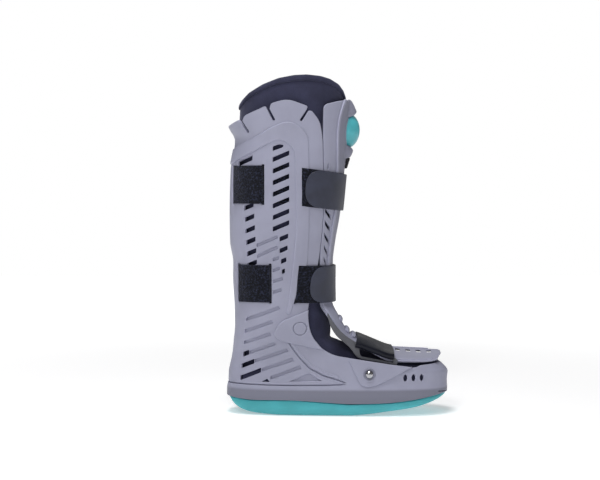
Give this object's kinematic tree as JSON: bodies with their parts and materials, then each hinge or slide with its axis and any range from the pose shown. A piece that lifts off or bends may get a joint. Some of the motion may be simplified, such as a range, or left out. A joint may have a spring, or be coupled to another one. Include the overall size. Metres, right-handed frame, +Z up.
{
  "type": "medical walking boot",
  "caption": "Tall rigid walking boot with slotted shell, rocker sole, padded liner, front panel with hand pump, calf straps and foot strap.",
  "frame": {"origin": "on the flat contact face of the outsole, under the leg, midway between the sides", "axes": "+X to the toe, +Z up along the leg, -Y to the near side with the strap tabs"},
  "size_m": [0.2874, 0.1232, 0.4316],
  "materials": {
    "shell_plastic": "satin",
    "sole_rubber": "satin",
    "liner_fabric": "matte",
    "bulb_rubber": "satin",
    "valve_plastic": "gloss",
    "strap_loop": "matte",
    "strap_tab": "satin",
    "flange_plastic": "matte",
    "rivet_steel": "polished"
  },
  "bodies": {
    "boot": {"outsole": "sole_rubber", "rear_shell": "shell_plastic", "liner": "liner_fabric", "front_panel": "shell_plastic", "pump_bulb": "bulb_rubber", "strap_flange_near": "flange_plastic", "strap_flange_far": "flange_plastic", "upper_calf_strap": "strap_loop", "upper_strap_tab": "strap_tab", "lower_calf_strap": "strap_loop", "lower_strap_tab": "strap_tab", "foot_strap": "strap_loop", "rivet_near": "rivet_steel", "rivet_far": "rivet_steel"},
    "valve": {"valve_button": "valve_plastic"}
  },
  "joints": [
    {"name": "valve_press", "type": "slide", "parent": "boot", "child": "valve", "axis": [-1, 0, 0], "range_m": [0, 0.0022], "stiffness_N_per_m": 600}
  ]
}
